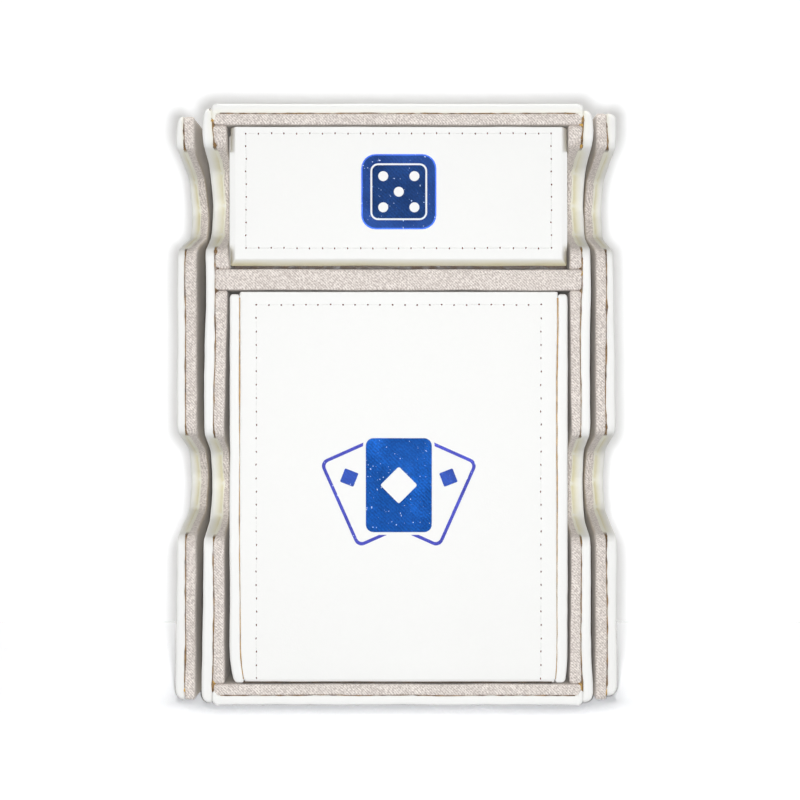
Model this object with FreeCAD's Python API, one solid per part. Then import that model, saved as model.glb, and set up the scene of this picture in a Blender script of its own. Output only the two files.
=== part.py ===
import FreeCAD, Part

import math
import os

# Deck box with drawer: a lined frame with two bays, a drawer, a card tray and a slip cover
# parked over the back. Lengths are in millimetres. X runs across the front, Y from the open
# front to the back and Z up. The origin is under the middle of the whole box.

# Frame: clear bays, and the wrapped boards around them
frame_depth = 81.5
bay_width = 86.2
drawer_bay_height = 36.2
tray_bay_height = 98.6
outer_board = 2.4
lining_board = 2.8
divider_board = 5.2
side_end_step = 0.8

# Finger notches in the front rims of the frame's sides
notch_margin = 5.0
notch_slope_run = 4.8
notch_depth = 19.0

# Slip cover, three walls
cover_outer_board = 2.0
cover_lining_board = 2.5
cover_gap = 2.5
cover_back_gap = 0.25
cover_setback = 7.0
cover_shortfall = 1.6
cover_lift = 0.5
cover_notch_flare = 0.6
cover_notch_slope_run = 6.2
cover_notch_depth = 28.0

# Drawer
drawer_side_clearance = 0.85
drawer_top_clearance = 0.5
drawer_front_board = 3.0
drawer_front_round = 1.6
drawer_wall_board = 2.0
drawer_wall_drop = 1.5
drawer_lining_board = 1.2

# Card tray
tray_side_clearance = 0.85
tray_top_clearance = 0.6
tray_board = 2.4
tray_lining_board = 1.2

# Fits that the drawer and the tray share
running_clearance = 0.25
front_setback = 0.3
rear_clearance = 0.6

# Disc magnets that hold the cover
magnet_diameter = 8.0
magnet_thickness = 1.5
magnet_clearance = 0.1
magnet_spacing = 56.0

# Rounded edges of the wrapped boards
wrap_round = 0.9
notch_outer_round = 3.0
notch_inner_round = 3.5
panel_corner_round = 1.2
round_limit_share = 0.4

# One overrun serves all cuts
cut_overrun = 1.0

# Half widths of the frame and heights of its boards
bay_x = bay_width / 2
lining_x = bay_x + lining_board
outer_x = lining_x + outer_board
tray_bay_z = outer_board + lining_board
divider_z = tray_bay_z + tray_bay_height
drawer_bay_z = divider_z + divider_board
top_lining_z = drawer_bay_z + drawer_bay_height
top_outer_z = top_lining_z + lining_board
frame_height = top_outer_z + outer_board
drawer_mid_z = (drawer_bay_z + top_lining_z) / 2
tray_mid_z = (tray_bay_z + divider_z) / 2

# Depths, with the whole box centred on the origin
total_depth = frame_depth + cover_back_gap + cover_lining_board + cover_outer_board
front_y = -total_depth / 2
back_y = front_y + frame_depth
back_outer_y = back_y - outer_board
back_lining_y = back_outer_y - lining_board

# Notches
notch_mouth = drawer_bay_height - 2 * notch_margin
notch_floor = notch_mouth - 2 * notch_slope_run
cover_notch_mouth = notch_mouth + 2 * cover_notch_flare
cover_notch_floor = cover_notch_mouth - 2 * cover_notch_slope_run

# Cover
cover_inner_x = outer_x + cover_gap
cover_lining_x = cover_inner_x + cover_lining_board
cover_outer_x = cover_lining_x + cover_outer_board
cover_rim_y = front_y + cover_setback
cover_lining_y = back_y + cover_back_gap
cover_face_y = cover_lining_y + cover_lining_board
cover_back_y = cover_face_y + cover_outer_board
cover_height = frame_height - cover_shortfall
cover_top_z = cover_lift + cover_height
cover_drop = cover_shortfall / 2 - cover_lift

# Drawer and tray
slide_front_y = front_y + front_setback
slide_back_y = back_lining_y - rear_clearance
drawer_x = bay_x - drawer_side_clearance
drawer_z = drawer_bay_z + running_clearance
drawer_top_z = top_lining_z - drawer_top_clearance
tray_x = bay_x - tray_side_clearance
tray_z = tray_bay_z + running_clearance
tray_top_z = divider_z - tray_top_clearance


def edge_round(board):
    """Rounding of a wrapped board's edges, limited by the board's thickness."""
    return min(wrap_round, board * round_limit_share)


def block(x0, x1, y0, y1, z0, z1):
    """Plain box between two corners."""
    return Part.makeBox(x1 - x0, y1 - y0, z1 - z0, FreeCAD.Vector(x0, y0, z0))


def wrapped_board(x0, x1, y0, y1, z0, z1):
    """Flat board with all its edges rounded by the wrap."""
    board = block(x0, x1, y0, y1, z0, z1)
    return board.makeFillet(edge_round(min(x1 - x0, y1 - y0, z1 - z0)), board.Edges)


def rounded_outline(points, radii):
    """Closed wire through the points, with each corner rounded by its radius."""
    count = len(points)
    ends = []
    edges = []
    for index, corner in enumerate(points):
        to_last = (points[index - 1] - corner).normalize()
        to_next = (points[(index + 1) % count] - corner).normalize()
        half_angle = to_last.getAngle(to_next) / 2
        reach = radii[index] / math.tan(half_angle)
        middle = (to_last + to_next).normalize()
        inset = radii[index] / math.sin(half_angle) - radii[index]
        ends.append((corner + to_last * reach, corner + middle * inset, corner + to_next * reach))
    for index in range(count):
        first, middle, last = ends[index]
        edges.append(Part.Arc(first, middle, last).toShape())
        edges.append(Part.LineSegment(last, ends[(index + 1) % count][0]).toShape())
    return Part.Wire(edges)


def notched_side(x0, x1, y0, y1, z0, z1, notch, middles):
    """Upright wrapped board in the YZ plane, with notches cut into its front rim."""
    mouth, floor, depth = notch
    points = [FreeCAD.Vector(x0, y0, z0)]
    radii = [panel_corner_round]
    for middle in middles:
        points.append(FreeCAD.Vector(x0, y0, middle - mouth / 2))
        points.append(FreeCAD.Vector(x0, y0 + depth, middle - floor / 2))
        points.append(FreeCAD.Vector(x0, y0 + depth, middle + floor / 2))
        points.append(FreeCAD.Vector(x0, y0, middle + mouth / 2))
        radii += [notch_outer_round, notch_inner_round, notch_inner_round, notch_outer_round]
    points += [FreeCAD.Vector(x0, y0, z1), FreeCAD.Vector(x0, y1, z1), FreeCAD.Vector(x0, y1, z0)]
    radii += [panel_corner_round] * 3
    board = Part.Face(rounded_outline(points, radii)).extrude(FreeCAD.Vector(x1 - x0, 0, 0))
    rims = [edge for edge in board.Edges if edge.BoundBox.XLength < edge_round(x1 - x0)]
    return board.makeFillet(edge_round(x1 - x0), rims)


def mirrored(shape):
    """The same piece on the other side of the middle plane."""
    return shape.mirror(FreeCAD.Vector(0, 0, 0), FreeCAD.Vector(1, 0, 0))


def disc(x, y, z, diameter, length):
    """Round disc that lies along Y."""
    return Part.makeCylinder(diameter / 2, length, FreeCAD.Vector(x, y, z), FreeCAD.Vector(0, 1, 0))


def magnet_places(heights):
    """Left and right magnet places at each height."""
    return [(x, z) for z in heights for x in (-magnet_spacing / 2, magnet_spacing / 2)]


def magnets(y, heights):
    """Disc magnets whose front faces lie at y."""
    return Part.makeCompound([disc(x, y, z, magnet_diameter, magnet_thickness)
                              for x, z in magnet_places(heights)])


def with_pockets(board, y, length, heights):
    """Board with a blind magnet pocket from y, as long as given, at each place."""
    bore = magnet_diameter + 2 * magnet_clearance
    return board.cut([disc(x, y, z, bore, length) for x, z in magnet_places(heights)])


def frame_outer_panels():
    """Leatherette boards on the outside of the frame."""
    notch = (notch_mouth, notch_floor, notch_depth)
    left = notched_side(-outer_x, -lining_x, front_y, back_y, side_end_step,
                        frame_height - side_end_step, notch, (tray_mid_z, drawer_mid_z))
    back = wrapped_board(-lining_x, lining_x, back_outer_y, back_y, outer_board, top_outer_z)
    heights = (tray_mid_z, drawer_mid_z)
    pocket_y = back_outer_y - cut_overrun
    return {
        "left_outer_panel": left,
        "right_outer_panel": mirrored(left),
        "top_outer_panel": wrapped_board(-lining_x, lining_x, front_y, back_y, top_outer_z, frame_height),
        "bottom_outer_panel": wrapped_board(-lining_x, lining_x, front_y, back_y, 0, outer_board),
        "back_outer_panel": with_pockets(back, pocket_y, magnet_thickness + cut_overrun, heights),
        "back_magnets": magnets(back_outer_y, heights),
    }


def frame_linings():
    """Microfibre boards inside the frame, and the shelf between the bays."""
    notch = (notch_mouth, notch_floor, notch_depth)
    drawer_side = notched_side(-lining_x, -bay_x, front_y, back_outer_y, drawer_bay_z, top_lining_z,
                               notch, (drawer_mid_z,))
    tray_side = notched_side(-lining_x, -bay_x, front_y, back_outer_y, tray_bay_z, divider_z,
                             notch, (tray_mid_z,))
    return {
        "top_lining_panel": wrapped_board(-lining_x, lining_x, front_y, back_outer_y,
                                          top_lining_z, top_outer_z),
        "bottom_lining_panel": wrapped_board(-lining_x, lining_x, front_y, back_outer_y,
                                             outer_board, tray_bay_z),
        "divider_panel": wrapped_board(-lining_x, lining_x, front_y, back_outer_y,
                                       divider_z, drawer_bay_z),
        "drawer_bay_left_lining": drawer_side,
        "drawer_bay_right_lining": mirrored(drawer_side),
        "drawer_bay_back_lining": wrapped_board(-bay_x, bay_x, back_lining_y, back_outer_y,
                                                drawer_bay_z, top_lining_z),
        "tray_bay_left_lining": tray_side,
        "tray_bay_right_lining": mirrored(tray_side),
        "tray_bay_back_lining": wrapped_board(-bay_x, bay_x, back_lining_y, back_outer_y,
                                              tray_bay_z, divider_z),
    }


def cover():
    """Three-sided slip cover, with its face behind the frame's back."""
    notch = (cover_notch_mouth, cover_notch_floor, cover_notch_depth)
    middles = (tray_mid_z - cover_drop, drawer_mid_z - cover_drop)
    left = notched_side(-cover_outer_x, -cover_lining_x, cover_rim_y, cover_face_y,
                        cover_lift, cover_top_z, notch, middles)
    left_lining = notched_side(-cover_lining_x, -cover_inner_x, cover_rim_y, cover_face_y,
                               cover_lift, cover_top_z, notch, middles)
    face_lining = wrapped_board(-cover_inner_x, cover_inner_x, cover_lining_y, cover_face_y,
                                cover_lift, cover_top_z)
    heights = (tray_mid_z, drawer_mid_z)
    magnet_y = cover_face_y - magnet_thickness
    return {
        "cover_left_panel": left,
        "cover_right_panel": mirrored(left),
        "cover_left_lining": left_lining,
        "cover_right_lining": mirrored(left_lining),
        "cover_face_panel": wrapped_board(-cover_outer_x, cover_outer_x, cover_face_y, cover_back_y,
                                          cover_lift, cover_top_z),
        "cover_face_lining": with_pockets(face_lining, magnet_y, magnet_thickness + cut_overrun, heights),
        "cover_magnets": magnets(magnet_y, heights),
    }


def drawer():
    """Open-topped drawer behind a padded front."""
    walls_y = slide_front_y + drawer_front_board
    wall_top_z = drawer_top_z - drawer_wall_drop
    inner_x = drawer_x - drawer_wall_board
    inner_y = slide_back_y - drawer_wall_board
    floor_z = drawer_z + drawer_wall_board
    lined_x = inner_x - drawer_lining_board
    lined_front_y = walls_y + drawer_lining_board
    lined_back_y = inner_y - drawer_lining_board
    front = block(-drawer_x, drawer_x, slide_front_y, walls_y, drawer_z, drawer_top_z)
    kept_square = [edge for edge in front.Edges if edge.BoundBox.YMin > slide_front_y + front_setback]
    rounded = [edge for edge in front.Edges if not any(edge.isSame(kept) for kept in kept_square)]
    front = front.makeFillet(min(drawer_front_round, drawer_front_board - front_setback), rounded)
    heights = (drawer_mid_z,)
    magnet_y = walls_y - magnet_thickness
    left = wrapped_board(-drawer_x, -inner_x, walls_y, slide_back_y, drawer_z, wall_top_z)
    left_lining = wrapped_board(-inner_x, -lined_x, lined_front_y, lined_back_y, floor_z, wall_top_z)
    return {
        "drawer_front_panel": with_pockets(front, magnet_y, magnet_thickness + cut_overrun, heights),
        "drawer_front_magnets": magnets(magnet_y, heights),
        "drawer_left_wall": left,
        "drawer_right_wall": mirrored(left),
        "drawer_back_wall": wrapped_board(-inner_x, inner_x, inner_y, slide_back_y, drawer_z, wall_top_z),
        "drawer_floor": wrapped_board(-inner_x, inner_x, walls_y, inner_y, drawer_z, floor_z),
        "drawer_front_lining": wrapped_board(-inner_x, inner_x, walls_y, lined_front_y, floor_z, wall_top_z),
        "drawer_left_lining": left_lining,
        "drawer_right_lining": mirrored(left_lining),
        "drawer_back_lining": wrapped_board(-inner_x, inner_x, lined_back_y, inner_y, floor_z, wall_top_z),
        "drawer_floor_lining": wrapped_board(-lined_x, lined_x, lined_front_y, lined_back_y,
                                             floor_z, floor_z + drawer_lining_board),
    }


def card_tray():
    """Open-topped card tray: two side boards with the front, floor and back between them."""
    inner_x = tray_x - tray_board
    front_inner_y = slide_front_y + tray_board
    back_inner_y = slide_back_y - tray_board
    floor_z = tray_z + tray_board
    lined_x = inner_x - tray_lining_board
    lined_front_y = front_inner_y + tray_lining_board
    lined_back_y = back_inner_y - tray_lining_board
    front = wrapped_board(-inner_x, inner_x, slide_front_y, front_inner_y, tray_z, tray_top_z)
    heights = (tray_mid_z,)
    magnet_y = front_inner_y - magnet_thickness
    left = wrapped_board(-tray_x, -inner_x, slide_front_y, slide_back_y, tray_z, tray_top_z)
    left_lining = wrapped_board(-inner_x, -lined_x, lined_front_y, lined_back_y, floor_z, tray_top_z)
    return {
        "tray_front_panel": with_pockets(front, magnet_y, magnet_thickness + cut_overrun, heights),
        "tray_front_magnets": magnets(magnet_y, heights),
        "tray_left_panel": left,
        "tray_right_panel": mirrored(left),
        "tray_back_panel": wrapped_board(-inner_x, inner_x, back_inner_y, slide_back_y, tray_z, tray_top_z),
        "tray_floor_panel": wrapped_board(-inner_x, inner_x, front_inner_y, back_inner_y, tray_z, floor_z),
        "tray_front_lining": wrapped_board(-inner_x, inner_x, front_inner_y, lined_front_y,
                                           floor_z, tray_top_z),
        "tray_left_lining": left_lining,
        "tray_right_lining": mirrored(left_lining),
        "tray_back_lining": wrapped_board(-inner_x, inner_x, lined_back_y, back_inner_y,
                                          floor_z, tray_top_z),
        "tray_floor_lining": wrapped_board(-lined_x, lined_x, lined_front_y, lined_back_y,
                                           floor_z, floor_z + tray_lining_board),
    }


os.makedirs("parts", exist_ok=True)
for section in (frame_outer_panels, frame_linings, cover, drawer, card_tray):
    for node, shape in section().items():
        shape.exportStep("parts/" + node + ".step")
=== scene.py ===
"""Looks of a deck box with drawer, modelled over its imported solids."""
import math
import random

import bmesh
import bpy
from mathutils import Matrix, Vector
from mathutils.geometry import intersect_point_line


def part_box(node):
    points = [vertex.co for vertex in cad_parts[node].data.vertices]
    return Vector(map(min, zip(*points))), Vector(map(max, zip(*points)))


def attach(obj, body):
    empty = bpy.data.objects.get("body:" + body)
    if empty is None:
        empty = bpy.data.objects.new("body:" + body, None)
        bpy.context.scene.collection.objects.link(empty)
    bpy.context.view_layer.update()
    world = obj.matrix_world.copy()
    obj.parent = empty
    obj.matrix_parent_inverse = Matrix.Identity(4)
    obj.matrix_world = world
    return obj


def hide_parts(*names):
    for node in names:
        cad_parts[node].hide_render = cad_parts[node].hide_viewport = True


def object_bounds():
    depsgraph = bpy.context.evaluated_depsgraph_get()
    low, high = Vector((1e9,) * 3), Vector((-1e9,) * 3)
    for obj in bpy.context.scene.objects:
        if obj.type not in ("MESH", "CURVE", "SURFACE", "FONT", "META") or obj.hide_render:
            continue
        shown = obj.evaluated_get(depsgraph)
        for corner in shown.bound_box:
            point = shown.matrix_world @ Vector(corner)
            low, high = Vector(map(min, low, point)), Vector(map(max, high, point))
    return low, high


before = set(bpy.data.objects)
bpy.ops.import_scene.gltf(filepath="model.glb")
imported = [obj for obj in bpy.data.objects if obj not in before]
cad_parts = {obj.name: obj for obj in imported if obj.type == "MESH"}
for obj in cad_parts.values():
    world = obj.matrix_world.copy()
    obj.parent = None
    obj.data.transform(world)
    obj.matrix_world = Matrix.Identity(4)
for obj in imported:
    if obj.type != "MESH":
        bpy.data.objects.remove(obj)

bl_info = {
    "name": "Deck box with drawer",
    "version": (1, 0, 0),
    "blender": (4, 5, 0),
    "location": "View3D > Sidebar > Deck Box",
    "description": "Leatherette and microfibre looks for a deck box with a drawer, a card tray and a slip cover",
    "category": "Add Mesh",
}

CAD_BOX = [list(corner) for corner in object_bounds()]
MM = 0.001
# Points closer than this count as one place, and edges sharper than this angle are rounded
TOUCH = 2e-6
SHARP_ANGLE = 0.6
SMOOTH_ANGLE = math.radians(40)
HANDS = (("left", -1), ("right", 1))
WALL_TOP = 150

# How the hand-built side walls stray from their plain places: (height, shift to the right) in millimetres, for the
# outer face, the glued seam and the inner face of the left (-1) and right (1) walls
DRIFT = {
    ("frame", -1): {
        "outer": [(0, -0.6), (7, -0.6), (13, -0.46), (24, -0.3), (36, -0.05), (78, 0.06), (90, 0.2), (101, 0.44),
                  (110, 0.5), (118, 0.25), (130, 0.1), (138, -0.15), (144, -0.5), (150, -0.5)],
        "seam": [(0, -0.3), (4, -0.29), (13, 0), (24, 0.14), (36, 0.06), (69, 0.06), (78, 0.21), (90, 0.54),
                 (100, 0.36), (112, 0.44), (138, 0.25), (141, 0.06), (146, -0.41), (150, -0.45)],
        "inner": [(0, 0), (13, -0.07), (24, -0.16), (36, -0.1), (69, -0.2), (78, 0.06), (90, 0.3), (101, 0.55),
                  (104, 0.6), (109, 1.3), (111, 1.0), (113, 0.8), (118, 0.5), (141, 0.45), (150, 0.45)]},
    ("frame", 1): {
        "outer": [(0, 0.9), (4, 0.86), (7, 0.73), (13, 0.44), (24, 0.24), (36, 0.2), (52, 0.3), (70, 0.1), (78, 0),
                  (90, 0.04), (103, 0.24), (112, 0.2), (120, 0.4), (130, 0.4), (138, 0.6), (145, 0.95), (150, 0.95)],
        "seam": [(0, 0.7), (4, 0.69), (7, 0.46), (13, 0.26), (24, 0.17), (36, 0.26), (72, 0.15), (90, 0), (100, 0.06),
                 (104, 0.4), (112, 0.5), (141, 0.36), (146, 0.8), (150, 0.86)],
        "inner": [(0, 0.1), (7, 0.2), (13, 0.4), (24, 0.5), (36, 0.6), (52, 0.65), (70, 0.7), (78, 0.5), (90, 0.45),
                  (101, 0.35), (108, 0.15), (113, 0.4), (127, 0.15), (141, -0.1), (150, -0.15)]},
    ("cover", -1): {
        "outer": [(0, -1), (7, -1.05), (13, -1), (24, -0.72), (30, -0.68), (37, -0.72), (45, -0.5), (52, -0.3),
                  (60, -0.4), (72, -0.56), (90, -0.48), (98, -0.6), (106, -0.62), (113, -0.55), (123, 0), (133, -0.25),
                  (138, -0.6), (142, -0.9), (147, -0.8), (150, -0.7)],
        "seam": [(0, -0.56), (4, -0.56), (13, -0.42), (24, -0.28), (36, -0.36), (52, -0.1), (70, -0.36), (90, -0.36),
                 (101, -0.5), (110, -0.6), (123, 0.1), (137, -0.6), (142, -0.74), (147, -0.84), (150, -0.84)],
        "inner": [(0, -0.4), (24, -0.4), (36, -0.2), (78, 0), (101, -0.1), (112, -0.1), (123, 0.2), (133, -0.3),
                  (142, -0.75), (150, -0.75)]},
    ("cover", 1): {
        "outer": [(0, 0.7), (7, 0.8), (13, 0.76), (18, 0.55), (30, 0.6), (36, 0.62), (52, 0.5), (70, 0.38), (78, 0.22),
                  (88, 0.28), (97, -0.05), (103, -0.17), (112, -0.28), (124, -0.05), (132, 0.1), (138, 0.35),
                  (142, 0.42), (150, 0.45)],
        "seam": [(0, 0), (13, 0.2), (24, 0.1), (36, -0.13), (52, 0), (70, -0.13), (77, -0.3), (90, -0.08), (112, -0.1),
                 (124, -0.2), (132, 0), (141, 0.3), (146, 0), (150, 0)],
        "inner": [(0, -0.3), (36, -0.3), (90, -0.25), (112, -0.25), (124, -0.4), (141, -0.1), (150, -0.2)]},
}


def length(label, words, default):
    """Length property, given in millimetres."""
    return bpy.props.FloatProperty(name=label, description=words, default=default * MM, unit="LENGTH", precision=5)


def number(label, words, default):
    """Plain number property."""
    return bpy.props.FloatProperty(name=label, description=words, default=default, precision=3)


def colour(label, words, default):
    """Colour property, in linear values."""
    return bpy.props.FloatVectorProperty(name=label, description=words, default=default, size=3, min=0, max=1,
                                         subtype="COLOR")


class DeckBoxShape(bpy.types.PropertyGroup):
    """Sizes of the wrapped boards."""
    rim_round: length("Rim rounding", "Rounding of the leatherette rims", 0.7)
    lining_round: length("Lining rounding", "Rounding of the microfibre rims", 0.6)
    wave: length("Wave", "How far the hand-wrapped rims wander", 0.3)
    wrap_overlap: length("Wrap overlap", "How far the leatherette turns over the lining inside a frame notch", 0.9)
    cover_overlap: length("Cover overlap", "How far the leatherette turns over the lining inside a cover notch", 0.4)
    notch_mouth: length("Notch mouth", "Height of a frame notch at the rim", 26.2)
    notch_floor: length("Notch floor", "Height of a frame notch at its floor", 16.6)
    notch_depth: length("Notch depth", "Depth of a frame notch", 19.0)
    cover_notch_mouth: length("Cover notch mouth", "Height of a cover notch at the rim", 26.2)
    cover_notch_floor: length("Cover notch floor", "Height of a cover notch at its floor", 15.0)
    cover_notch_depth: length("Cover notch depth", "Depth of a cover notch", 28.0)
    cover_notch_lift: length("Cover notch lift", "How far the cover's notches sit above the frame's", 0.3)
    notch_bow: length("Notch bow", "How much deeper a notch's floor is in its middle than at its corners", 5.0)
    notch_round: length("Notch rounding", "Length of edge that each rounded notch corner takes", 2.5)
    hook_width: length("Hook width", "Width of the folded ends of the top and bottom boards", 1.3)
    glue_inset: length("Glue inset", "How far the glue lies below the rims", 0.27)
    front_shift: length("Front shift", "How far the drawer and the tray sit to the right in their bays", 0.45)
    drawer_slant: length("Drawer slant", "How far the drawer front's side edges slope away", 1.35)
    drawer_foot: length("Drawer foot", "Height of the sloping edge below the drawer front", 1.75)
    drawer_lift: length("Drawer lift", "Height of the dark gap below the drawer front", 0.6)
    tray_round: length("Tray rounding", "Rounding of the tray's side rims", 0.65)


class DeckBoxStitching(bpy.types.PropertyGroup):
    """Sizes of the seams on the two fronts."""
    drawer_half_width: length("Drawer seam half width", "Half width of the drawer front's seam", 38.2)
    drawer_top: length("Drawer seam top", "Height of the drawer front's upper seam", 143.0)
    drawer_bottom: length("Drawer seam bottom", "Height of the drawer front's lower seam", 114.3)
    tray_half_width: length("Tray seam half width", "Half width of the tray front's seam", 35.6)
    tray_top: length("Tray seam top", "Height of the tray front's upper seam", 100.15)
    hole_width: length("Hole width", "Width of a needle hole", 0.46)
    thread: length("Thread", "Thickness of the sewing thread", 0.22)
    drawer_columns: bpy.props.IntProperty(name="Drawer stitches across", description="Stitches in a row", default=24)
    drawer_rows: bpy.props.IntProperty(name="Drawer stitches up", description="Stitches in a column", default=9)
    tray_columns: bpy.props.IntProperty(name="Tray stitches across", description="Stitches in a row", default=23)
    tray_rows: bpy.props.IntProperty(name="Tray stitches up", description="Stitches in a column", default=28)


class DeckBoxColours(bpy.types.PropertyGroup):
    """Colours of the finishes."""
    leatherette: colour("Leatherette", "White wrap of the outer boards", (0.885, 0.882, 0.860))
    # Ivory is also painted shade: on the drawer front's sloping edges, on the top board's lower edge and near the side
    # boards' tops by the seam
    ivory: colour("Ivory", "Stretched wrap inside the notches", (0.83, 0.81, 0.69))
    butter: colour("Butter", "Glue that shows through the wrap inside the notches", (0.74, 0.69, 0.46))
    lining: colour("Lining", "Greige microfibre", (0.915, 0.85, 0.79))
    lining_dark: colour("Lining shade", "Hollows of the microfibre's twill", (0.50, 0.438, 0.40))
    # Painted shade: this colour darkens the linings deep inside the gaps and on the cover's inner walls, where shade
    # falls
    lining_painted_shade: colour("Lining depth", "Flattened pile deep inside the gaps", (0.42, 0.345, 0.255))
    glue: colour("Glue", "Dried glue between the boards", (0.085, 0.043, 0.016))
    glue_light: colour("Light glue", "Thin places of the glue", (0.25, 0.145, 0.048))
    gold: colour("Gold glue", "Thick drops of glue at the corners", (0.66, 0.40, 0.08))
    thread: colour("Thread", "Sewing thread", (0.88, 0.875, 0.85))
    # Painted shade: the inside of each needle hole is coloured dark
    hole: colour("Needle hole", "Inside of a needle hole", (0.30, 0.12, 0.10))
    navy: colour("Navy foil", "Dark foil on the drawer", (0.004, 0.028, 0.115))
    # Painted highlight: the die's outline ring is coloured brighter, as light on its embossed edge
    navy_rim_highlight: colour("Navy rim", "Bright outline of the dark foil", (0.045, 0.12, 0.52))
    blue: colour("Blue foil", "Bright foil on the tray", (0.001, 0.056, 0.255))
    blue_rim: colour("Blue rim", "Outline of the bright foil", (0.040, 0.045, 0.25))
    glint: colour("Glint", "Bright specks in the foil", (0.5, 0.6, 0.78))
    nickel: colour("Nickel", "Plating of the magnets", (0.62, 0.60, 0.57))


class DeckBoxStage(bpy.types.PropertyGroup):
    """Camera and light."""
    distance: length("Camera distance", "From the front rim to the camera", 450)
    camera_x: length("Camera across", "Camera's place across the front", 0.8)
    camera_z: length("Camera height", "Camera's height above the floor", 76.3)
    backdrop: length("Backdrop", "Room for the cover to slide back before it meets the backdrop", 84)
    lens: number("Lens", "Focal length in millimetres on a 36 mm sensor", 81.0)
    dome: number("Dome", "Strength of the light from all round", 0.225)
    key: number("Key", "Strength of the soft light from the front and above", 0.27)
    axis: number("Axis light", "Strength of the small light beside the camera", 3.86)
    wash: number("Backdrop wash", "Strength of the light beside the camera that only the backdrop takes", 3.0)
    floor_wash: number("Floor wash", "Strength of the light beside the camera that only the floor takes", 30.0)
    floor_top: number("Floor top light", "Strength of the light from above that only the floor takes", 6.95)
    top: number("Top light", "Strength of the light from above", 1.88)
    sides: number("Side lights", "Strength of the light from each side", 0.32)
    rear: number("Rear light", "Strength of the light from behind", 1.7)
    lamp_distance: length("Lamp distance", "From the front rim to the lamps beside the camera", 396)
    lamp_lift: length("Lamp lift", "How far the lamps beside the camera sit above it", 2.5)
    lamp_radius: length("Lamp radius", "Radius of the lamps beside the camera", 6.7)
    lamp_tint: colour("Lamp tint", "Colour of the lamps beside the camera", (0.947, 0.966, 1.0))
    dome_tint: colour("Dome tint", "Colour of the light from all round", (1.0, 0.955, 0.875))
    bounce: number("Bounce", "Strength of the light that the floor and the backdrop give to the box", 0.49)


def shape():
    """Sizes of the wrapped boards."""
    return bpy.context.scene.deck_box_shape


def colours():
    """Colours of the finishes."""
    return bpy.context.scene.deck_box_colours


# Modelling helpers

def held(value):
    """Value held between 0 and 1."""
    return min(max(value, 0.0), 1.0)


def ramp(value, start, end):
    """Smooth step from 0 at start to 1 at end."""
    share = held((value - start) / (end - start))
    return share * share * (3 - 2 * share)


def near(value, target):
    """Whether two lengths are the same place."""
    return abs(value - target) < TOUCH


def clear_selection():
    """Leave editing and select nothing."""
    if bpy.context.mode != "OBJECT":
        bpy.ops.object.mode_set(mode="OBJECT")
    bpy.ops.object.select_all(action="DESELECT")


def take_up(piece):
    """Make one piece the only selected and active one, in object mode."""
    clear_selection()
    piece.select_set(True)
    bpy.context.view_layer.objects.active = piece


def apply_place():
    """Put the selected piece's place, turn and size into its mesh."""
    bpy.ops.object.transform_apply(location=True, rotation=True, scale=True)


def named(piece, name):
    """Name a piece and its mesh."""
    piece.name = name
    piece.data.name = name
    return piece


def settle(name):
    """Put the new primitive's place and size into its mesh, name it and open it for editing."""
    apply_place()
    piece = named(bpy.context.object, name)
    bpy.ops.object.mode_set(mode="EDIT")
    return piece


def new_block(name, low, high):
    """Block between two corners, open for editing."""
    clear_selection()
    low, high = Vector(low), Vector(high)
    bpy.ops.mesh.primitive_cube_add(size=1, location=(low + high) / 2, scale=high - low)
    return settle(name)


def pick(kind, test):
    """Select the points, edges or faces that pass the test, and nothing else."""
    bpy.ops.mesh.select_mode(type=kind)
    bpy.ops.mesh.select_all(action="DESELECT")
    mesh = bmesh.from_edit_mesh(bpy.context.edit_object.data)
    for item in {"VERT": mesh.verts, "EDGE": mesh.edges, "FACE": mesh.faces}[kind]:
        if test(item):
            item.select_set(True)
    bmesh.update_edit_mesh(bpy.context.edit_object.data)


def middle_of(edge):
    """Middle of an edge."""
    return (edge.verts[0].co + edge.verts[1].co) / 2


def runs_along(edge, axis):
    """Whether an edge is parallel to an axis."""
    run = (edge.verts[1].co - edge.verts[0].co).normalized()
    return abs(run[axis]) > 0.999


def slice_at(axis, places):
    """Cut the open mesh across an axis at the given places."""
    normal = [0.0, 0.0, 0.0]
    normal[axis] = 1.0
    for place in places:
        spot = [0.0, 0.0, 0.0]
        spot[axis] = place
        bpy.ops.mesh.select_all(action="SELECT")
        bpy.ops.mesh.bisect(plane_co=spot, plane_no=normal, threshold=1e-6)


def slice_up(axis, step):
    """Cut the open mesh across an axis in even steps, so that it can bend."""
    mesh = bmesh.from_edit_mesh(bpy.context.edit_object.data)
    spots = [point.co[axis] for point in mesh.verts]
    low, high = min(spots), max(spots)
    count = round((high - low) / step)
    slice_at(axis, [low + (high - low) * index / count for index in range(1, count)])


def round_edges(width, segments=4, test=None):
    """Round the open mesh's sharp edges, or those of them that pass the test."""
    def sharp(edge):
        if len(edge.link_faces) != 2 or edge.calc_face_angle() < SHARP_ANGLE:
            return False
        return test is None or test(edge)
    pick("EDGE", sharp)
    bpy.ops.mesh.bevel(offset=width, offset_type="OFFSET", segments=segments, affect="EDGES", clamp_overlap=False)


def modify(piece, kind, **values):
    """Add a modifier with the given values, and apply it."""
    take_up(piece)
    modifier = piece.modifiers.new(kind.lower(), kind)
    for key, value in values.items():
        setattr(modifier, key, value)
    bpy.ops.object.modifier_apply(modifier=modifier.name)


def displace(piece, direction, amount, shares):
    """Move a piece's points along X, Y or Z, each by its share of the amount."""
    group = piece.vertex_groups.new(name="push")
    for index, share in enumerate(shares):
        if share > 0:
            group.add([index], min(share, 1.0), "REPLACE")
    modify(piece, "DISPLACE", direction=direction, strength=amount, mid_level=0.0, vertex_group="push")
    piece.vertex_groups.remove(piece.vertex_groups["push"])


def push(piece, direction, amount, weight):
    """Move a piece's points along X, Y or Z, each by its weight from 0 to 1."""
    clear_selection()
    displace(piece, direction, amount, [weight(point.co) for point in piece.data.vertices])


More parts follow.
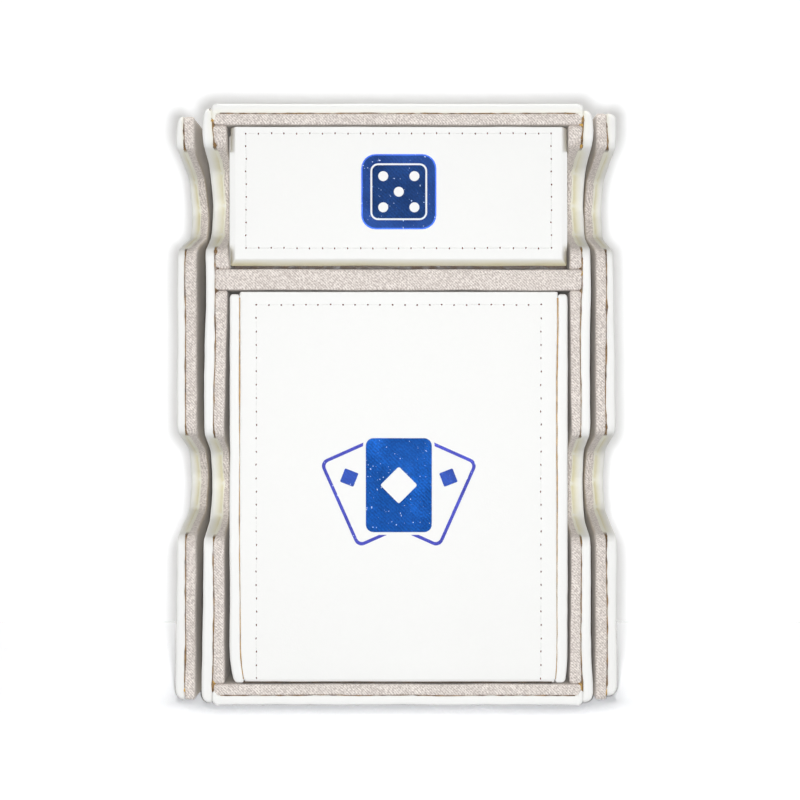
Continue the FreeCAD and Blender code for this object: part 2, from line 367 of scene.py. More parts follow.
def move_by(piece, direction, offset):
    """Move a piece's points along X, Y or Z, each by its own length, which may be negative."""
    clear_selection()
    shifts = [offset(point.co) for point in piece.data.vertices]
    low, span = min(shifts), max(shifts) - min(shifts)
    if span:
        displace(piece, direction, span, [(shift - low) / span for shift in shifts])
    if low:
        displace(piece, direction, low, [1.0] * len(shifts))


def ripple(piece, amount, size, directions="XY"):
    """Let a hand-wrapped piece wander a little."""
    name = f"wander {size / MM:.1f}"
    clouds = bpy.data.textures.get(name) or bpy.data.textures.new(name, "CLOUDS")
    clouds.noise_scale = size
    clouds.noise_depth = 1
    for direction in directions:
        modify(piece, "DISPLACE", texture=clouds, texture_coords="GLOBAL", direction=direction, strength=amount,
               mid_level=0.5)


def paint(piece, name, value):
    """Give each point of a piece a value that its finish reads."""
    clear_selection()
    layer = piece.data.attributes.new(name, "FLOAT", "POINT")
    layer.data.foreach_set("value", [value(point.co) for point in piece.data.vertices])


def join(name, pieces):
    """Join like pieces into one."""
    clear_selection()
    for piece in pieces:
        piece.select_set(True)
    bpy.context.view_layer.objects.active = pieces[0]
    bpy.ops.object.join()
    apply_place()
    return named(bpy.context.object, name)


def copies(piece, name, places):
    """Copy a piece, each copy with its own mesh, turned and moved as given, and join the copies into one."""
    clear_selection()
    made = []
    for place in places:
        other = piece.copy()
        other.data = piece.data.copy()
        other.matrix_world = place
        bpy.context.scene.collection.objects.link(other)
        made.append(other)
    bpy.data.objects.remove(piece)
    return join(name, made)


def hand_over(piece, body, finish, *nodes, slot=None):
    """Smooth a finished piece, give it its finish, and set it on its body in the place of its nodes."""
    take_up(piece)
    bpy.ops.object.shade_smooth_by_angle(angle=SMOOTH_ANGLE)
    if not piece.data.materials:
        piece.data.materials.append(bpy.data.materials[finish])
    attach(piece, body)
    if nodes:
        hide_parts(*nodes)


# Notches

# How the wrap turns over along a notch: its share away from the turns, the size of the peak at each turn, where it
# sets in behind the rim, and where it ends away from the edge
WRAP_LEVEL = 0.68
WRAP_PEAK = 1.3 * MM
WRAP_START = (0.5 * MM, 8.0 * MM)
WRAP_END = (1.4 * MM, 4.5 * MM)
WRAP_MARGIN = 4 * MM
BOARD_CORNER = 1.2 * MM
END_CUTS = (0.25, 0.6, 1.1, 1.7)


class Notch:
    """One notch: the height of its middle, half its height at the rim and at its floor, and its depth."""

    def __init__(self, middle, mouth, floor, depth):
        self.middle = middle
        self.mouth = mouth
        self.floor = floor
        self.depth = depth

    def profile(self):
        """Heights across the notch, from below, with the depth at each."""
        bow = shape().notch_bow / 2
        return [(self.middle - self.mouth, 0.0), (self.middle - self.floor, self.depth - bow),
                (self.middle, self.depth + bow), (self.middle + self.floor, self.depth - bow),
                (self.middle + self.mouth, 0.0)]

    def corners(self, rim):
        """Corner points (y, z) from the lower to the upper mouth."""
        return [Vector((rim + depth, height)) for height, depth in self.profile()]


def bay_middle(node):
    """Height of a bay's middle, by one of its linings."""
    low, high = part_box(node)
    return (low.z + high.z) / 2


def notches_of(body):
    """The notches beside the tray and beside the drawer in each side wall of a body."""
    sizes = shape()
    if body == "cover":
        lift, mouth, floor, depth = (sizes.cover_notch_lift, sizes.cover_notch_mouth, sizes.cover_notch_floor,
                                     sizes.cover_notch_depth)
    else:
        lift, mouth, floor, depth = 0.0, sizes.notch_mouth, sizes.notch_floor, sizes.notch_depth
    return [Notch(bay_middle(node) + lift, mouth / 2, floor / 2, depth)
            for node in ("tray_bay_left_lining", "drawer_bay_left_lining")]


def reach_to(spot, lines):
    """Shortest way from a spot to any of some straight lines."""
    reach = 1.0
    for first, last in lines:
        share = intersect_point_line(spot, first, last)[1]
        reach = min(reach, (spot - first.lerp(last, held(share))).length)
    return reach


def wrap_share(place, rim, notches):
    """How far the wrap turns over at a place: 1 along a notch, 0 away from it and along straight rims."""
    spot = Vector((place.y, place.z))
    best = 0.0
    for notch in notches:
        if abs(place.z - notch.middle) > notch.mouth + WRAP_MARGIN:
            continue
        turns = notch.corners(rim)
        reach = reach_to(spot, zip(turns, turns[1:]))
        peak = max(math.exp(-((spot - turn).length / WRAP_PEAK) ** 2) for turn in turns[1:4])
        along = ramp(place.y - rim, *WRAP_START)
        best = max(best, along * (1 - ramp(reach, *WRAP_END)) * (WRAP_LEVEL + (1 - WRAP_LEVEL) * peak))
    return best


def round_turns(spots, width, segments):
    """Round an open flat board's outline at some spots (y, z)."""
    pick("VERT", lambda v: any((v.co.yz - spot).length < TOUCH for spot in spots))
    bpy.ops.mesh.bevel(offset=width, segments=segments, affect="VERTICES")


def notched_board(name, low, high, notches, rounding):
    """Upright board in the YZ plane with notches in its front rim."""
    clear_selection()
    bpy.ops.mesh.primitive_plane_add(size=1, location=(low.x, (low.y + high.y) / 2, (low.z + high.z) / 2),
                                     rotation=(0, math.pi / 2, 0))
    bpy.context.object.scale = (high.z - low.z, high.y - low.y, 1)
    piece = settle(name)
    for notch in notches:
        slice_at(2, [height for height, depth in notch.profile()])
    for notch in notches:
        for height, depth in notch.profile()[1:4]:
            pick("VERT", lambda v: near(v.co.y, low.y) and near(v.co.z, height))
            bpy.ops.transform.translate(value=(0, depth, 0))
    pick("FACE", lambda face: True)
    bpy.ops.mesh.dissolve_faces()
    round_turns([turn for notch in notches for turn in notch.corners(low.y)], shape().notch_round, 6)
    round_turns([Vector((y, z)) for y in (low.y, high.y) for z in (low.z, high.z)], BOARD_CORNER, 4)
    pick("FACE", lambda face: True)
    bpy.ops.mesh.extrude_region_move(TRANSFORM_OT_translate={"value": (high.x - low.x, 0, 0)})
    bpy.ops.mesh.select_all(action="SELECT")
    bpy.ops.mesh.normals_make_consistent(inside=False)
    if rounding:
        round_edges(rounding, 5)
    slice_up(2, 2.5 * MM)
    slice_at(2, [end + way * step * MM for end, way in ((low.z, 1), (high.z, -1)) for step in END_CUTS])
    slice_up(1, 5 * MM)
    return piece


# Side walls

TIP_DEPTH = 1.6 * MM
TIP_BELOW = 3.0 * MM
TIP_ABOVE = 4.2 * MM


def share_across(place, low, high):
    """0 at the left end of a board, 1 at its right end."""
    return held((place.x - low.x) / (high.x - low.x))


def share_inwards(place, low, high, side):
    """0 at the outer face of a side wall's board, 1 at its inner face."""
    share = share_across(place, low, high)
    return 1 - share if side > 0 else share


def inner_face(low, high, side):
    """Place across of the inner face of a side wall's board."""
    return high.x if side < 0 else low.x


def round_ends(piece, low, high, side, above):
    """Round the outer corners of an upright board's two ends, like finger tips."""
    def weight(place):
        short = max(1 - (place.z - low.z) / TIP_BELOW, 1 - (high.z - place.z) / above, 0.0)
        return (1 - share_inwards(place, low, high, side)) * (1 - math.sqrt(1 - min(short, 1.0) ** 2))
    push(piece, "X", -side * TIP_DEPTH, weight)


def drift(body, side, line, height):
    """Shift of one line of a side wall at a height."""
    steps = DRIFT[body, side][line]
    height = min(max(height / MM, 0), WALL_TOP)
    for (low, first), (high, last) in zip(steps, steps[1:]):
        if height <= high:
            return (first + (last - first) * ramp(height, low, high)) * MM


def drift_wall(piece, body, side, low, high, outer, inner):
    """Move a side wall's board to where it strays, by the lines that its two faces follow."""
    def offset(place):
        first = drift(body, side, outer, place.z)
        return first + (drift(body, side, inner, place.z) - first) * share_inwards(place, low, high, side)
    move_by(piece, "X", offset)


def drift_between(piece, low, high):
    """Stretch a board between the frame's side walls to where their seams stray."""
    def offset(place):
        first = drift("frame", -1, "seam", place.z)
        return first + (drift("frame", 1, "seam", place.z) - first) * share_across(place, low, high)
    move_by(piece, "X", offset)


def overlap(body):
    """How far the wrap turns over inside a body's notches."""
    return shape().cover_overlap if body == "cover" else shape().wrap_overlap


def wrap_over(piece, low, high, rim, notches, side, towards_seam, amount):
    """Turn the wrap over the lining inside the notches: the side of the board that faces the seam moves inwards."""
    def weight(place):
        across = share_inwards(place, low, high, side)
        return wrap_share(place, rim, notches) * (across if towards_seam else 1 - across)
    push(piece, "X", -side * amount, weight)


def wander(piece, directions="XY"):
    """The two sizes of waves that all wrapped rims share."""
    ripple(piece, shape().wave, 14 * MM, directions)
    ripple(piece, shape().wave * 0.55, 4 * MM, directions)


# Finishes

def wire(tree, source, socket):
    """Set a socket to a value, or link it to another socket."""
    if isinstance(source, bpy.types.NodeSocket):
        tree.links.new(source, socket)
    elif isinstance(source, (int, float)):
        socket.default_value = source
    else:
        socket.default_value = tuple(source) + ((1.0,) if len(source) == 3 and socket.type == "RGBA" else ())


def add(tree, kind, settings=(), **sockets):
    """Add a node, with its settings and its sockets by name."""
    node = tree.nodes.new(kind)
    for key, value in dict(settings).items():
        setattr(node, key, value)
    for key, value in sockets.items():
        wire(tree, value, node.inputs[key.replace("_", " ")])
    return node


def painted(tree, name):
    """Value that was painted on a piece's points."""
    return add(tree, "ShaderNodeAttribute", {"attribute_name": name}).outputs["Fac"]


def object_place(tree):
    """Place on the piece itself."""
    return tree.nodes.new("ShaderNodeTexCoord").outputs["Object"]


def wire_all(tree, node, sources):
    """Set or link some of a node's sockets, by their order."""
    for index, source in sources.items():
        wire(tree, source, node.inputs[index])
    return node


def mix(tree, share, first, second):
    """Colour between two colours."""
    node = add(tree, "ShaderNodeMix", {"data_type": "RGBA"})
    return wire_all(tree, node, {0: share, 6: first, 7: second}).outputs[2]


def spread(tree, value, low, high, to_low=0.0, to_high=1.0):
    """Value moved from one range to another, and held inside it."""
    node = add(tree, "ShaderNodeMapRange", Value=value)
    for key, level in (("From Min", low), ("From Max", high), ("To Min", to_low), ("To Max", to_high)):
        node.inputs[key].default_value = level
    return node.outputs["Result"]


def between(tree, share, first, last):
    """Value that goes from first to last as a share goes from 0 to 1."""
    return spread(tree, share, 0, 1, first, last)


def shade(tint, share):
    """Darker or lighter tint."""
    return [level * share for level in tint]


def sum_of(tree, first, second, share=1.0):
    """First value plus a share of the second."""
    node = add(tree, "ShaderNodeMath", {"operation": "MULTIPLY_ADD"})
    return wire_all(tree, node, {0: second, 1: share, 2: first}).outputs[0]


def new_group(name, inputs, outputs):
    """Empty node group with named sockets."""
    group = bpy.data.node_groups.new(name, "ShaderNodeTree")
    for label, default in inputs:
        socket = group.interface.new_socket(name=label, in_out="INPUT", socket_type="NodeSocketFloat")
        socket.default_value = default
    for label in outputs:
        group.interface.new_socket(name=label, in_out="OUTPUT", socket_type="NodeSocketFloat")
    return group, group.nodes.new("NodeGroupInput"), group.nodes.new("NodeGroupOutput")


def make_grain_group():
    """Fine pebbled grain of coated leatherette."""
    group, enter, leave = new_group("Grain", [("Scale", 2200.0)], ["Height", "Tone"])
    place = object_place(group)
    cells = add(group, "ShaderNodeTexVoronoi", Vector=place, Scale=enter.outputs["Scale"])
    fine = add(group, "ShaderNodeTexNoise", Vector=place, Scale=900.0, Detail=3.0)
    wide = add(group, "ShaderNodeTexNoise", Vector=place, Scale=70.0, Detail=2.0)
    wire(group, sum_of(group, cells.outputs["Distance"], fine.outputs["Fac"], 0.8), leave.inputs["Height"])
    wire(group, spread(group, sum_of(group, wide.outputs["Fac"], fine.outputs["Fac"], 0.35), 0.45, 0.95),
         leave.inputs["Tone"])


def make_twill_group():
    """Fine diagonal twill of napped microfibre."""
    group, enter, leave = new_group("Twill", [("Scale", 760.0)], ["Height", "Hollow", "Nap"])
    place = object_place(group)
    lines = add(group, "ShaderNodeTexWave", {"bands_direction": "DIAGONAL"}, Vector=place,
                Scale=enter.outputs["Scale"], Distortion=2.2, Detail=2.0, Detail_Scale=1.6)
    fibres = add(group, "ShaderNodeTexNoise", Vector=place, Scale=2150.0, Detail=1.0, Roughness=0.6)
    nap = add(group, "ShaderNodeTexNoise", Vector=place, Scale=160.0, Detail=3.0)
    wire(group, sum_of(group, fibres.outputs["Fac"], lines.outputs["Fac"], 0.5), leave.inputs["Height"])
    both = sum_of(group, spread(group, fibres.outputs["Fac"], 0.66, 0.34), lines.outputs["Fac"], -0.7)
    wire(group, spread(group, both, -0.6, 0.8), leave.inputs["Hollow"])
    wire(group, spread(group, nap.outputs["Fac"], 0.3, 0.7), leave.inputs["Nap"])


def make_mottle_group():
    """Slow patches and small specks, for glue, foil and metal."""
    group, enter, leave = new_group("Mottle", [("Scale", 300.0), ("Speck Scale", 1500.0)], ["Patch", "Speck"])
    place = object_place(group)
    patch = add(group, "ShaderNodeTexNoise", Vector=place, Scale=enter.outputs["Scale"], Detail=3.0)
    speck = add(group, "ShaderNodeTexNoise", Vector=place, Scale=enter.outputs["Speck Scale"], Detail=1.0)
    wire(group, spread(group, patch.outputs["Fac"], 0.36, 0.64), leave.inputs["Patch"])
    wire(group, spread(group, speck.outputs["Fac"], 0.72, 0.78), leave.inputs["Speck"])


def use_group(tree, name, **values):
    """Place a shared group in a material with its own values."""
    node = tree.nodes.new("ShaderNodeGroup")
    node.node_tree = bpy.data.node_groups[name]
    for key, value in values.items():
        node.inputs[key.replace("_", " ")].default_value = value
    return node.outputs


def new_finish(name, **constants):
    """New material with its shader's plain values. Returns its tree and shader."""
    material = bpy.data.materials.new(name)
    material.use_nodes = True
    tree = material.node_tree
    shader = tree.nodes["Principled BSDF"]
    for key, value in constants.items():
        wire(tree, value, shader.inputs[key.replace("_", " ")])
    return tree, shader


def coat(tree, shader, tone, rough, height=None, strength=0.0, depth=0.05 * MM):
    """Colour and roughness of a finish, and the bump that a height makes in it."""
    wire(tree, tone, shader.inputs["Base Color"])
    wire(tree, rough, shader.inputs["Roughness"])
    if height is not None:
        bump = add(tree, "ShaderNodeBump", Height=height, Strength=strength, Distance=depth)
        wire(tree, bump.outputs["Normal"], shader.inputs["Normal"])


def make_leatherette():
    """White wrap, ivory where it is pulled taut over a notch and where shade is painted on it, and butter where glue
    shows through.
    """
    tints = colours()
    tree, shader = new_finish("leatherette_wrap", Specular_IOR_Level=0.35)
    grain = use_group(tree, "Grain", Scale=2200.0)
    # Painted value: wrap pulled taut in the notches, and painted shade on edges that turn away from the light
    patchy = sum_of(tree, 0.0, painted(tree, "stretch"), between(tree, grain["Tone"], 0.75, 1.2))
    plain = mix(tree, grain["Tone"], shade(tints.leatherette, 0.975), tints.leatherette)
    ivory = mix(tree, spread(tree, patchy, 0.0, 0.5), plain, tints.ivory)
    tone = mix(tree, spread(tree, patchy, 0.5, 1.0), ivory, tints.butter)
    coat(tree, shader, tone, between(tree, grain["Tone"], 0.55, 0.66), grain["Height"], 0.25)


def make_microfibre():
    """Greige lining, with painted shade deep inside the gaps."""
    tints = colours()
    tree, shader = new_finish("microfibre_wrap", Specular_IOR_Level=0.15, Sheen_Weight=0.2, Sheen_Roughness=0.5)
    twill = use_group(tree, "Twill", Scale=860.0)
    pile = mix(tree, twill["Nap"], shade(tints.lining, 0.94), shade(tints.lining, 1.05))
    tone = mix(tree, twill["Hollow"], pile, tints.lining_dark)
    # Painted shade: darker where the 'deep' value marks the inside of a gap
    tone = mix(tree, painted(tree, "deep"), tone, tints.lining_painted_shade)
    coat(tree, shader, tone, between(tree, twill["Nap"], 0.85, 0.97), twill["Height"], 0.5)


def make_glues():
    """Dried glue from dark to gold, ivory where the wrap covers it, and a near-black finish that is painted shadow in
    the gaps below the fronts.
    """
    tints = colours()
    for name, dark, light in (("glue", tints.glue, tints.glue_light),
                              ("gold_glue", tints.glue_light, tints.gold),
                              ("tan_glue", tints.glue_light, shade(tints.glue_light, 1.8)),
                              # Painted shadow: the dark strips in the gaps below the drawer and the tray fronts
                              ("dark_glue", shade(tints.glue, 0.3), shade(tints.glue, 0.7))):
        tree, shader = new_finish(name, Specular_IOR_Level=0.4)
        mottle = use_group(tree, "Mottle", Scale=520.0, Speck_Scale=1500.0)
        tone = mix(tree, mottle["Speck"], mix(tree, mottle["Patch"], dark, light), shade(dark, 0.5))
        tone = mix(tree, spread(tree, painted(tree, "stretch"), 0.05, 0.3), tone, tints.ivory)
        coat(tree, shader, tone, between(tree, mottle["Patch"], 0.3, 0.55), mottle["Patch"], 0.4, 0.15 * MM)


def make_threads():
    """Sewing thread, and painted shade for the inside of a needle hole."""
    tints = colours()
    for name, tint in (("thread", tints.thread), ("needle_hole", tints.hole)):
        tree, shader = new_finish(name, Specular_IOR_Level=0.2)
        twill = use_group(tree, "Twill", Scale=2600.0)
        tone = mix(tree, twill["Hollow"], tint, shade(tint, 0.8))
        coat(tree, shader, tone, between(tree, twill["Nap"], 0.6, 0.8), twill["Height"], 0.4)


def make_foils():
    """Metallic foil with an outline, which on the navy foil is a painted highlight, and a few glints."""
    tints = colours()
    for name, tint, rim in (("navy_foil", tints.navy, tints.navy_rim_highlight), ("blue_foil", tints.blue, tints.blue_rim)):
        tree, shader = new_finish(name, Specular_IOR_Level=0.5)
        mottle = use_group(tree, "Mottle", Scale=110.0, Speck_Scale=1500.0)
        weave = use_group(tree, "Twill", Scale=640.0)
        tone = mix(tree, mottle["Patch"], shade(tint, 0.85), shade(tint, 1.15))
        tone = mix(tree, weave["Hollow"], tone, shade(tint, 0.55))
        # Painted highlight on the navy foil's outline. On the blue foil the outline is only a tint
        tone = mix(tree, painted(tree, "edge"), tone, rim)
        tone = mix(tree, mottle["Speck"], tone, tints.glint)
        wire(tree, between(tree, mottle["Speck"], 0.85, 0.2), shader.inputs["Metallic"])
        coat(tree, shader, tone, between(tree, weave["Nap"], 0.52, 0.66), weave["Height"], 0.3)


def make_nickel():
    """Plating of the magnets."""
    tint = colours().nickel
    tree, shader = new_finish("nickel_plate", Metallic=1.0)
    mottle = use_group(tree, "Mottle", Scale=220.0, Speck_Scale=1800.0)
    tone = mix(tree, mottle["Patch"], shade(tint, 0.85), tint)
    coat(tree, shader, tone, between(tree, mottle["Patch"], 0.22, 0.38))


class DECKBOX_OT_finishes(bpy.types.Operator):
    """Make the finishes of the deck box"""
    bl_idname = "deckbox.finishes"
    bl_label = "Finishes"

    def execute(self, context):
        for make in (make_grain_group, make_twill_group, make_mottle_group, make_leatherette, make_microfibre,
                     make_glues, make_threads, make_foils, make_nickel):
            make()
        return {"FINISHED"}


# Boards and glue

# Heights where painted shade starts and ends near the top of the side boards, by the seam
TOP_PAINTED_SHADE = (137 * MM, 142 * MM)
LINING_INSET = 0.35 * MM
GLUE_HALF = 0.5 * MM
FLAT_GLUE_HALF = 0.45 * MM
GLUE_END = 2 * MM
GLUE_BACK = 3 * MM
DROP_DEPTH = 1.1
DROP_INSET = 0.7 * MM


def stretch_across(place, low, high, rim, notches, side):
    """How much the wrap is pulled taut and glue-stained inside a notch, with painted warm shade towards the seam, and
    how much shade is painted near the board's top by the seam.
    """
    across = share_inwards(place, low, high, side)
    turned = wrap_share(place, rim, notches)
    stained = min(turned / WRAP_LEVEL, 1.0) * (1 - 0.8 * ramp(turned, 0.82, 0.97) * ramp(across, 0.6, 0.9))
    # Ivory rising towards the seam: partly glue showing through, partly painted warm shade
    stained *= 0.12 + 0.5 * ramp(across, 0.25, 0.75) + 0.3 * math.exp(-((across - 0.82) / 0.14) ** 2)
    # Painted shade near the top of the board, by the seam
    return max(stained, 0.3 * ramp(place.z, *TOP_PAINTED_SHADE) * ramp(across, 0.45, 0.95))


def hung_box(node, drop):
    """Corners of a node's box, whose two ends hang lower by drop."""
    low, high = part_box(node)
    low.z -= drop[0]
    high.z -= drop[1]
    return low, high


def side_board(name, node, body, side, drop, tip=TIP_ABOVE):
    """Notched leatherette side board in the place of a node: its two ends hang lower by drop, its top tapers by tip."""
    low, high = hung_box(node, drop)
    notches = notches_of(body)
    piece = notched_board(name, low, high, notches, shape().rim_round)
    round_ends(piece, low, high, side, tip)
    # Painted value: wrap pulled taut, glue showing through and painted shade
    paint(piece, "stretch", lambda place: stretch_across(place, low, high, low.y, notches, side))
    wrap_over(piece, low, high, low.y, notches, side, True, overlap(body))
    drift_wall(piece, body, side, low, high, "outer", "seam")
    wander(piece)
    hand_over(piece, body, "leatherette_wrap", node, slot="leatherette")


def side_lining(name, node, body, side, drop=(0, 0)):
    """Notched microfibre side board in the place of a node, whose two ends hang lower by drop."""
    low, high = hung_box(node, drop)
    notches = [notch for notch in notches_of(body) if low.z < notch.middle < high.z]
    piece = notched_board(name, low, high, notches, shape().lining_round)
    # Painted shade on the inner face, behind the rim, where the gap beside it is dark
    paint(piece, "deep", lambda place: ramp(share_inwards(place, low, high, side), 0.8, 0.98)
          * ramp(place.y - low.y, 1 * MM, 7 * MM))
    wrap_over(piece, low, high, low.y, notches, side, False, overlap(body))
    drift_wall(piece, body, side, low, high, "seam", "inner")
    wander(piece)
    hand_over(piece, body, "microfibre_wrap", node, slot="microfibre")


def round_outer_edges(width, segments, outer_z):
    """Round the two long edges of an open flat board at a height."""
    round_edges(width, segments, lambda edge: runs_along(edge, 1) and near(middle_of(edge).z, outer_z))


def hooked_board(name, node, upward, hooks):
    """Top or bottom leatherette board, whose ends fold over the lining by the given lengths."""
    low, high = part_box(node)
    width = shape().hook_width
    piece = new_block(name, low, high)
    slice_at(0, [low.x + width, high.x - width])
    facing = 1 if upward else -1
    for hook, inside in zip(hooks, (lambda x: x < low.x + width, lambda x: x > high.x - width)):
        pick("FACE", lambda f: f.normal.z * facing > 0.9 and inside(f.calc_center_median().x))
        bpy.ops.mesh.extrude_region_move(TRANSFORM_OT_translate={"value": (0, 0, facing * hook)})
    round_outer_edges(1.3 * MM, 5, low.z if upward else high.z)
    round_edges(0.6 * MM, 4)
    slice_up(0, 4 * MM)
    slice_up(1, 6 * MM)
    # Painted shade: ivory on the top board's lower rounded edge, which turns away from the light
    if not upward:
        paint(piece, "stretch", lambda place: 0.3 * ramp(place.z, high.z - 1.1 * MM, low.z + 0.2 * MM))
    drift_between(piece, low, high)
    wander(piece, "YZ")
    hand_over(piece, "frame", "leatherette_wrap", node, slot="leatherette")


class DECKBOX_OT_frame_boards(bpy.types.Operator):
    """Wrap the frame's outer boards in leatherette"""
    bl_idname = "deckbox.frame_boards"
    bl_label = "Frame boards"

    def execute(self, context):
        side_board("side_board_left", "left_outer_panel", "frame", -1, (0.4 * MM, 0.25 * MM))
        side_board("side_board_right", "right_outer_panel", "frame", 1, (0.25 * MM, 0.8 * MM))
        hooked_board("top_board", "top_outer_panel", False, (1.9 * MM, 1.1 * MM))
        hooked_board("bottom_board", "bottom_outer_panel", True, (1.1 * MM, 1.4 * MM))
        return {"FINISHED"}


class DECKBOX_OT_frame_linings(bpy.types.Operator):
    """Wrap the frame's lining boards in microfibre"""
    bl_idname = "deckbox.frame_linings"
    bl_label = "Frame linings"

    def execute(self, context):
        for bay in ("drawer", "tray"):
            for hand, side in HANDS:
                side_lining(f"{bay}_bay_lining_{hand}", f"{bay}_bay_{hand}_lining", "frame", side)
        for name, node, outer in (("top_lining_board", "top_lining_panel", 1),
                                  ("bottom_lining_board", "bottom_lining_panel", -1),
                                  ("shelf_board", "divider_panel", 0)):
            low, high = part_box(node)
            low.x += abs(outer) * LINING_INSET
            high.x -= abs(outer) * LINING_INSET
            piece = new_block(name, low, high)
            if outer:
                round_outer_edges(1.25 * MM, 4, high.z if outer > 0 else low.z)
            round_edges(shape().lining_round, 4)
            slice_up(0, 3 * MM)
            slice_up(1, 6 * MM)
            # Painted shade on the linings behind their front rims, in the gaps beside the drawer and the tray
            paint(piece, "deep", lambda place: ramp(place.y - low.y, 0.5 * MM, 1.5 * MM))
            drift_between(piece, low, high)
            wander(piece, "YZ")
            hand_over(piece, "frame", "microfibre_wrap", node, slot="microfibre")
        return {"FINISHED"}


class DECKBOX_OT_cover_boards(bpy.types.Operator):
    """Wrap the cover's side walls"""
    bl_idname = "deckbox.cover_boards"
    bl_label = "Cover boards"

    def execute(self, context):
        for (hand, side), foot, top, tip in zip(HANDS, (0.45, -0.45), (0.9, 0.1), (4.2, 2.0)):
            side_board(f"cover_board_{hand}", f"cover_{hand}_panel", "cover", side, (foot * MM, top * MM), tip * MM)
            side_lining(f"cover_lining_board_{hand}", f"cover_{hand}_lining", "cover", side, (0.4 * MM, top * MM))
        return {"FINISHED"}


def roughen(piece):
    """Let the front of a line of glue swell and shrink."""
    ripple(piece, 0.5 * MM, 1.6 * MM, "Y")
    return piece


def glue_sheet(node, body, side):
    """Glue behind a side wall's outer board, which shows at the bottom of the groove between the rims."""
    low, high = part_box(node)
    seam = inner_face(low, high, side)
    notches = notches_of(body)
    front = low.y + shape().glue_inset
    piece = notched_board("glue", Vector((seam - GLUE_HALF, front, low.z + GLUE_END)),
                          Vector((seam + GLUE_HALF, high.y - GLUE_BACK, high.z - GLUE_END)), notches, 0)
    paint(piece, "stretch", lambda place: wrap_share(place, front, notches))
    push(piece, "X", -side * overlap(body), lambda place: wrap_share(place, front, notches))
    move_by(piece, "X", lambda place: drift(body, side, "seam", place.z))
    wander(piece)
    return roughen(piece)


class DECKBOX_OT_glue_lines(bpy.types.Operator):
    """Lay the glue between the boards"""
    bl_idname = "deckbox.glue_lines"
    bl_label = "Glue lines"

    def execute(self, context):
        sheets = [glue_sheet(f"{hand}_outer_panel", "frame", side) for hand, side in HANDS]
        for node, upper in (("top_outer_panel", False), ("bottom_outer_panel", True)):
            low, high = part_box(node)
            seam = high.z if upper else low.z
            piece = new_block("glue", (low.x + GLUE_END, low.y + shape().glue_inset, seam - FLAT_GLUE_HALF),
                              (high.x - GLUE_END, high.y - GLUE_BACK, seam + FLAT_GLUE_HALF))
            slice_up(0, 1.5 * MM)
            slice_up(1, 6 * MM)
            drift_between(piece, low, high)
            wander(piece, "YZ")
            sheets.append(roughen(piece))
        hand_over(join("frame_glue", sheets), "frame", "glue")
        sheets = [glue_sheet(f"cover_{hand}_panel", "cover", side) for hand, side in HANDS]
        hand_over(join("cover_glue", sheets), "cover", "glue")
        return {"FINISHED"}


def glue_drop(name, middle, size):
    """Irregular drop of glue."""
    clear_selection()
    bpy.ops.mesh.primitive_ico_sphere_add(subdivisions=4, radius=0.5, location=middle, scale=size)
    piece = settle(name)
    ripple(piece, 0.6 * MM, 0.9 * MM, "XYZ")
    return piece


class DECKBOX_OT_corner_glue(bpy.types.Operator):
    """Put drops of glue in the frame's corners, and dark drops that are painted shadow in the corner gaps"""
    bl_idname = "deckbox.corner_glue"
    bl_label = "Corner glue"

    def set_drops(self, name, body, finish, rim, drops):
        """Drops at the given places across and up, with their widths and heights, in millimetres."""
        pieces = [glue_drop(f"drop_{index}", Vector((x * MM, rim, z * MM)), Vector((width, DROP_DEPTH, tall)) * MM)
                  for index, (x, z, width, tall) in enumerate(drops)]
        hand_over(join(name, pieces), body, finish)

    def execute(self, context):
        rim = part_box("left_outer_panel")[0].y + DROP_INSET
        self.set_drops("corner_glue", "frame", "gold_glue", rim, [
            (-46.1, 146.1, 1.0, 1.5), (46.6, 146.0, 2.0, 3.6), (46.25, 139.8, 0.8, 1.1), (46.3, 108.1, 0.9, 1.6),
            (-45.7, 6.8, 0.75, 3.8), (46.1, 4.8, 1.2, 2.5)])
        # Painted shadow: dark drops in the small gaps at the frame's corners, where shade falls
        self.set_drops("corner_gaps", "frame", "glue", rim, [
            (-45.6, 140.2, 0.8, 1.4), (-45.4, 113.2, 0.85, 1.8), (-44.95, 109.3, 0.9, 0.7), (-45.05, 103.5, 0.9, 0.6),
            (46.4, 142.3, 0.6, 3.4), (46.5, 111.6, 0.6, 1.1), (46.05, 109.2, 0.8, 0.8), (-46.7, 148.7, 0.25, 1.3),
            (-45.4, 3.2, 0.9, 0.8), (45.5, 3.2, 0.7, 0.8)])
        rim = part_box("cover_left_panel")[0].y + DROP_INSET
        self.set_drops("cover_corner_glue", "cover", "gold_glue", rim, [
            (-53.8, 2.4, 0.75, 2.2), (-54.5, 1.7, 0.5, 0.5), (53.2, 2.0, 0.5, 2.2)])
        return {"FINISHED"}


# Fronts and seams

SEAM_CUTS = [step * MM for step in (-1.2, -0.5, 0.5, 1.2)]
SEAM_DENT = 0.07 * MM
DENT_REACH = 1.1 * MM
PIN_DEPTH = 1.4 * MM
PIN_SHIFT = 0.09 * MM
PIN_TURN = 0.25


def seam_places(first, last, count):
    """Even places along a straight seam between two points (x, z), with both ends."""
    first, last = Vector((first[0], 0, first[1])), Vector((last[0], 0, last[1]))
    return [first.lerp(last, index / count) for index in range(count + 1)]


